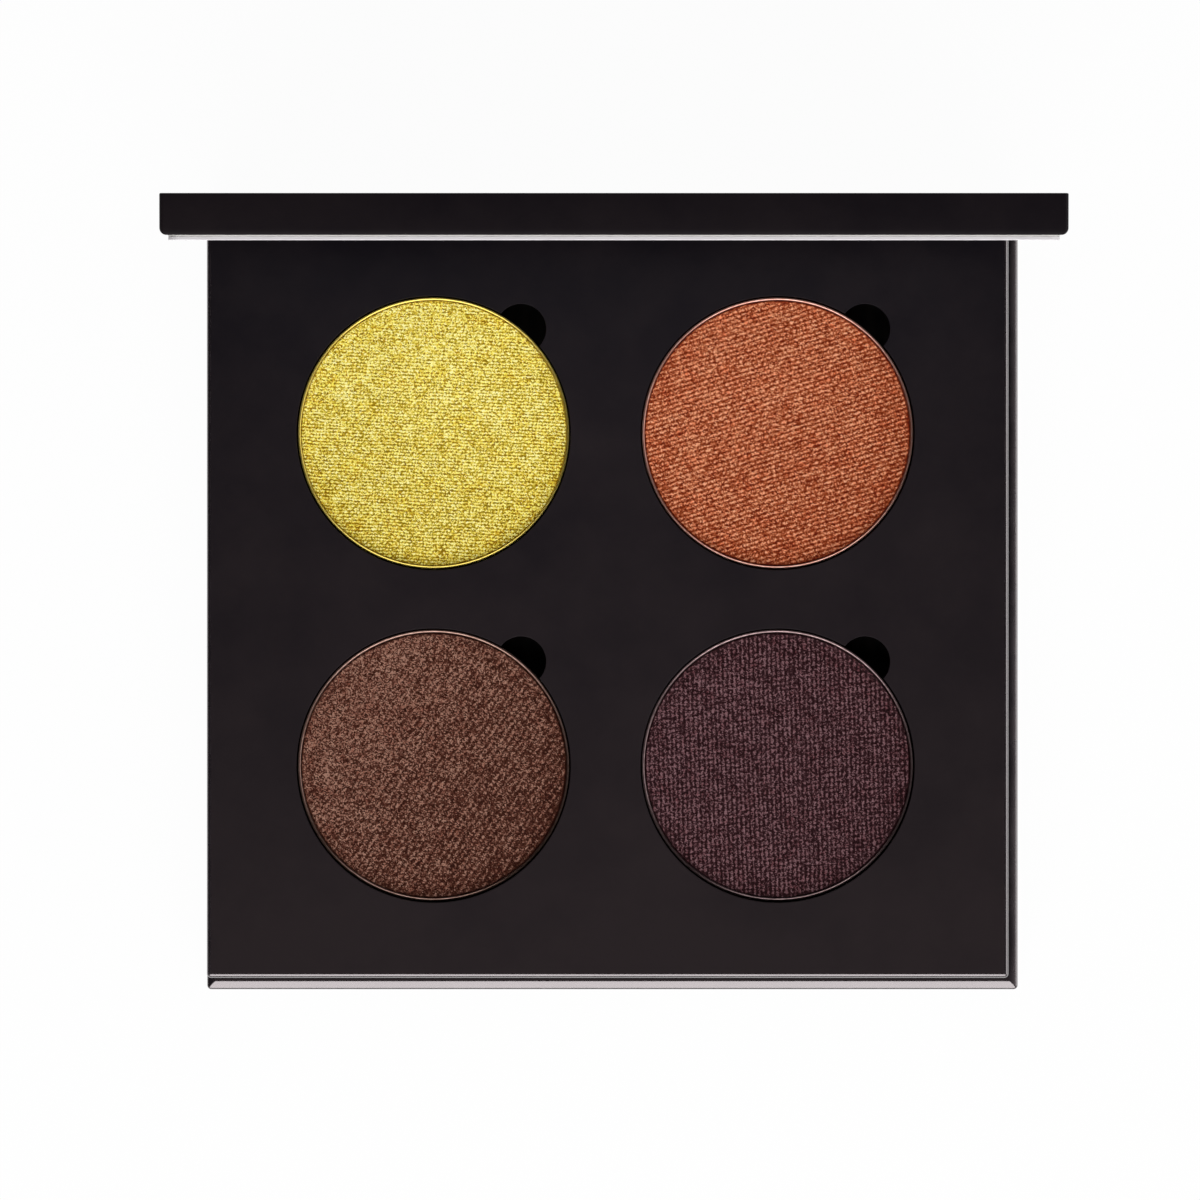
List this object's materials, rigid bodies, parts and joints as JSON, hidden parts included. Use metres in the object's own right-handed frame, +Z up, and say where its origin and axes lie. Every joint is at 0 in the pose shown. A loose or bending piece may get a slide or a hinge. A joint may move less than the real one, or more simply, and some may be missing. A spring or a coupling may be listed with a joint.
{
  "type": "eyeshadow palette",
  "caption": "Book-style paperboard eyeshadow palette with a mirrored folding lid and round magnetic pans that lift out of notched wells.",
  "frame": {"origin": "centre of the underside of the base, in the plane that it rests on", "axes": "+Z up out of the wells, +Y towards the lid's hinge, +X to the user's right"},
  "size_m": [0.0782, 0.0757, 0.0884],
  "materials": {
    "soft_touch_paper": "matte",
    "lining_paper": "matte",
    "greyboard": "matte",
    "black_card": "matte",
    "spacer_foam": "matte",
    "magnetic_rubber": "matte",
    "steel_plate": "satin",
    "nickel_magnet": "satin",
    "adhesive_film": "satin",
    "mirror_sheet": "polished",
    "tinplate": "satin",
    "powder_gold": "satin",
    "powder_copper": "satin",
    "powder_brown": "satin",
    "powder_plum": "satin"
  },
  "bodies": {
    "case": {"base_wrap": "soft_touch_paper", "base_board": "greyboard", "base_lining": "lining_paper", "spine_board": "greyboard", "spine_wrap": "soft_touch_paper", "hinge_lining": "lining_paper", "hinge_crease": "soft_touch_paper", "tray_floor_board": "greyboard", "magnetic_sheet": "magnetic_rubber", "well_spacer": "spacer_foam", "tray_wall_front": "greyboard", "tray_wall_rear": "greyboard", "tray_wall_left": "greyboard", "tray_wall_right": "greyboard", "closing_plate_left": "steel_plate", "closing_plate_right": "steel_plate", "platform_card": "black_card", "tray_wrap": "soft_touch_paper"},
    "lid": {"lid_wrap": "soft_touch_paper", "lid_board": "greyboard", "mirror_backing_card": "greyboard", "lid_lining": "lining_paper", "lid_magnet_left": "nickel_magnet", "lid_magnet_right": "nickel_magnet", "mirror_adhesive": "adhesive_film", "mirror": "mirror_sheet"},
    "pan_gold": {"pan_gold": "tinplate", "powder_gold": "powder_gold"},
    "pan_copper": {"pan_copper": "tinplate", "powder_copper": "powder_copper"},
    "pan_brown": {"pan_brown": "tinplate", "powder_brown": "powder_brown"},
    "pan_plum": {"pan_plum": "tinplate", "powder_plum": "powder_plum"}
  },
  "joints": [
    {"name": "lid_hinge", "type": "hinge", "parent": "case", "child": "lid", "pos_m": [0, 0.03763, 0.013], "axis": [-1, 0, 0], "range_deg": [-87.63, 100.37]},
    {"name": "pan_gold_lift", "type": "slide", "parent": "case", "child": "pan_gold", "axis": [0, 0, 1], "range_m": [0, 0.014]},
    {"name": "pan_copper_lift", "type": "slide", "parent": "case", "child": "pan_copper", "axis": [0, 0, 1], "range_m": [0, 0.014]},
    {"name": "pan_brown_lift", "type": "slide", "parent": "case", "child": "pan_brown", "axis": [0, 0, 1], "range_m": [0, 0.014]},
    {"name": "pan_plum_lift", "type": "slide", "parent": "case", "child": "pan_plum", "axis": [0, 0, 1], "range_m": [0, 0.014]}
  ]
}
